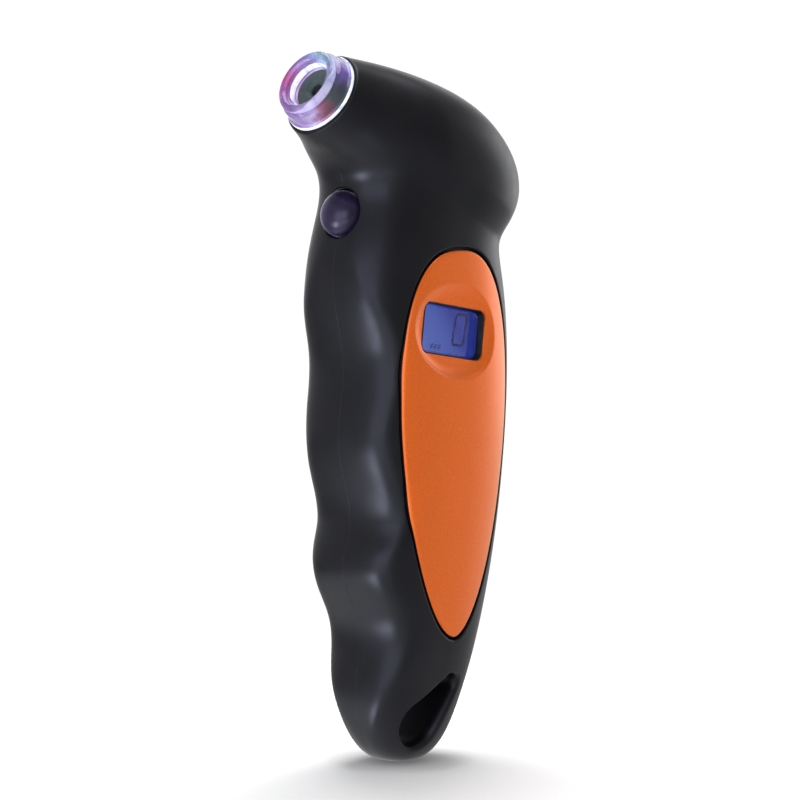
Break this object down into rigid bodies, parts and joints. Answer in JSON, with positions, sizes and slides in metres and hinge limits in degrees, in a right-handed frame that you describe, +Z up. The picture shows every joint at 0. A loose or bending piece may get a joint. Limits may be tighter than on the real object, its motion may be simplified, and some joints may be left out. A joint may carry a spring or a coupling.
{
  "type": "tire pressure gauge",
  "caption": "Pistol-grip digital tire pressure gauge: lit clear nozzle that presses on a tire valve, trigger-side button, blue display in an orange panel, finger grooves and a lanyard slot.",
  "frame": {"origin": "under the middle of the whole outline, on the plane that the tail's tip stands on", "axes": "+Z up the grip; -X to the finger side, where the nozzle points; +X to the palm side; -Y out of the display side; +Y out of the battery door's side"},
  "size_m": [0.0622, 0.0344, 0.1484],
  "materials": {
    "grip": "soft-touch, near black",
    "panel": "fine speckled satin paint, orange",
    "nozzle_clear": "clear, violet tinted",
    "button_dark": "smoky violet, polished",
    "rubber": "matte",
    "window": "clear, polished",
    "display": "blue backlit liquid crystal",
    "white_plastic": "satin",
    "black_plastic": "satin",
    "board": "solder mask, satin",
    "steel": "bright zinc",
    "brass": "turned",
    "hose": "translucent silicone",
    "red_wire": "insulated wire"
  },
  "bodies": {
    "housing": {"housing_left": "grip", "housing_right": "grip", "face_panel": "panel", "lcd_bezel": "black_plastic", "lcd_window": "window", "lcd_glass": "display", "backlight_plate": "white_plastic", "zebra_strip": "rubber", "main_board": "board", "controller_blob": "black_plastic", "pressure_sensor": "white_plastic", "ribbon_socket": "white_plastic", "board_screw_front": "steel", "board_screw_back": "steel", "nozzle_tip": "nozzle_clear", "nozzle_gasket": "rubber", "valve_seal": "rubber", "nozzle_core": "brass", "depressor_pin": "steel", "lamp_board": "board", "lamp_front": "white_plastic", "lamp_left": "white_plastic", "lamp_right": "white_plastic", "air_hose": "hose", "hose_clamp_nozzle": "steel", "hose_clamp_sensor": "steel", "tact_switch": "white_plastic", "switch_board": "board", "ribbon_cable": "white_plastic", "lamp_lead": "red_wire", "battery_cell": "steel", "battery_contact_negative": "brass", "battery_contact_positive": "brass", "battery_lead_negative": "black_plastic", "battery_lead_positive": "red_wire", "housing_screw_head": "steel", "housing_screw_neck": "steel", "housing_screw_front": "steel", "housing_screw_back": "steel"},
    "button": {"button_cap": "button_dark", "switch_plunger": "black_plastic"},
    "door": {"battery_door": "grip", "door_seal": "rubber"}
  },
  "joints": [
    {"name": "button_press", "type": "slide", "parent": "housing", "child": "button", "axis": [0.9721, 0, -0.2347], "range_m": [0, 0.0008], "stiffness_N_per_m": 1500, "springref_m": -0.0005},
    {"name": "door_turn", "type": "hinge", "parent": "housing", "child": "door", "pos_m": [0.00386, 0.013, 0.062], "axis": [0, 1, 0], "range_deg": [0, 60]}
  ]
}
